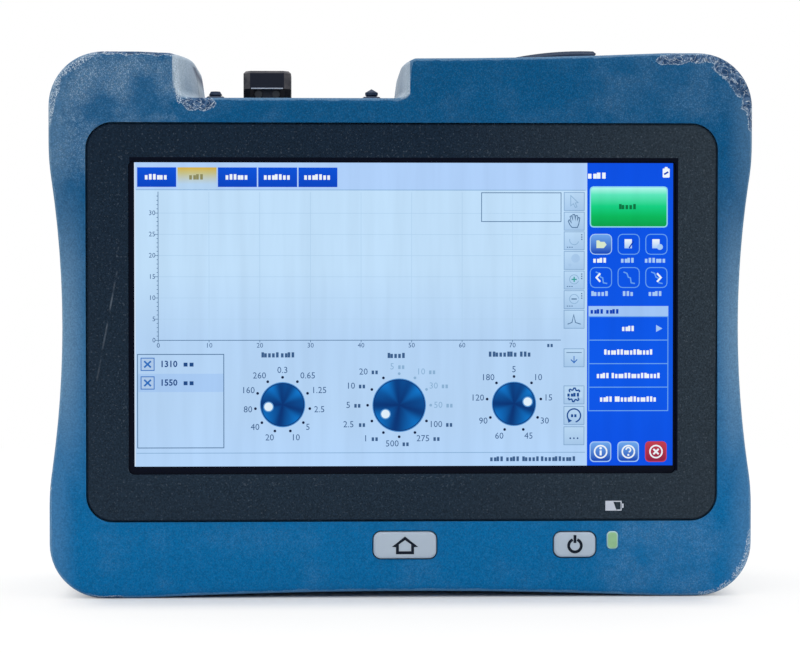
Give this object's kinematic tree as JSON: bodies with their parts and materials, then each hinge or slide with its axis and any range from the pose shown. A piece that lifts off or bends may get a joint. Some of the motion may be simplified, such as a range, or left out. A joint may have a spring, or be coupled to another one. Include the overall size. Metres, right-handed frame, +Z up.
{
  "type": "optical time domain reflectometer",
  "caption": "Handheld fibre tester with a wide touch screen in a waisted two-shell case, a port bay across the top, port covers, a stylus and a folding back stand.",
  "frame": {"origin": "bottom centre of the whole box, on the bench that it stands on", "axes": "+X to the right of someone facing the screen, +Y from the screen to the back, +Z up"},
  "size_m": [0.2, 0.068, 0.1583],
  "materials": {
    "shell_blue": "satin, lightly textured soft-feel",
    "bezel_black": "fine texture, low gloss",
    "screen_film": "smooth, clear hard coat",
    "lcd_frame": "plain",
    "bracket_steel": "zinc plated",
    "board_green": "solder mask",
    "key_grey": "satin",
    "lens_green": "clear, tinted",
    "seal_black": "matt",
    "cap_dark": "satin",
    "adapter_black": "satin",
    "port_metal": "nickel plated, satin",
    "optics_metal": "cast, bead blasted",
    "screw_steel": "black zinc",
    "pin_steel": "ground",
    "rubber_cap": "matt",
    "door_rubber": "matt",
    "socket_steel": "bright",
    "jack_black": "satin",
    "battery_wrap": "satin film",
    "stand_grey": "textured",
    "stylus_black": "satin",
    "speaker_black": "matt"
  },
  "bodies": {
    "case": {"front_shell": "shell_blue", "rear_shell": "shell_blue", "case_gasket": "seal_black", "case_screws": "screw_steel", "screen_bezel": "bezel_black", "touch_panel": "screen_film", "lcd_module": "lcd_frame", "lcd_bracket": "bracket_steel", "main_board": "board_green", "status_light": "lens_green", "keypad_board": "board_green", "optical_module": "optics_metal", "port_plate": "port_metal", "port_plate_screws": "screw_steel", "otdr_adapter": "adapter_black", "ferrule_holder": "port_metal", "adapter_screws": "screw_steel", "dust_cap_pin": "pin_steel", "power_meter_port": "port_metal", "fault_laser_port": "port_metal", "usb_sockets": "socket_steel", "io_board": "board_green", "usb_door_pin": "pin_steel", "lan_jack": "jack_black", "dc_jack": "jack_black", "side_board": "board_green", "battery_pack": "battery_wrap", "battery_cover": "shell_blue", "battery_cover_screws": "screw_steel", "kickstand_pins": "pin_steel", "rear_bumpers": "seal_black", "speaker": "speaker_black"},
    "home_button": {"home_button": "key_grey"},
    "power_button": {"power_button": "key_grey"},
    "dust_cap": {"dust_cap": "cap_dark"},
    "power_meter_cap": {"power_meter_cap": "rubber_cap"},
    "fault_laser_cap": {"fault_laser_cap": "rubber_cap"},
    "usb_door": {"usb_door": "door_rubber"},
    "stylus": {"stylus": "stylus_black"},
    "side_cover": {"side_cover": "door_rubber"},
    "kickstand": {"kickstand": "stand_grey", "kickstand_feet": "seal_black"}
  },
  "joints": [
    {"name": "home_press", "type": "slide", "parent": "case", "child": "home_button", "axis": [0, 1, 0], "range_m": [0, 0.0006], "stiffness_N_per_m": 2500, "springref_m": -0.0002},
    {"name": "power_press", "type": "slide", "parent": "case", "child": "power_button", "axis": [0, 1, 0], "range_m": [0, 0.0006], "stiffness_N_per_m": 2500, "springref_m": -0.0002},
    {"name": "dust_cap_hinge", "type": "hinge", "parent": "case", "child": "dust_cap", "pos_m": [-0.0389, 0.0078, 0.149], "axis": [-1, 0, 0], "range_deg": [0, 105]},
    {"name": "power_meter_cap_pull", "type": "slide", "parent": "case", "child": "power_meter_cap", "axis": [0, 0, 1], "range_m": [0, 0.04]},
    {"name": "fault_laser_cap_pull", "type": "slide", "parent": "case", "child": "fault_laser_cap", "axis": [0, 0, 1], "range_m": [0, 0.04]},
    {"name": "usb_door_hinge", "type": "hinge", "parent": "case", "child": "usb_door", "pos_m": [0.02385, 0.0046, 0.15205], "axis": [0, -1, 0], "range_deg": [0, 90]},
    {"name": "stylus_pull", "type": "slide", "parent": "case", "child": "stylus", "axis": [0, 0, 1], "range_m": [0, 0.105]},
    {"name": "side_cover_pull", "type": "slide", "parent": "case", "child": "side_cover", "axis": [1, 0, 0], "range_m": [0, 0.04]},
    {"name": "kickstand_hinge", "type": "hinge", "parent": "case", "child": "kickstand", "pos_m": [0, 0.0321, 0.103], "axis": [1, 0, 0], "range_deg": [0, 60]}
  ]
}
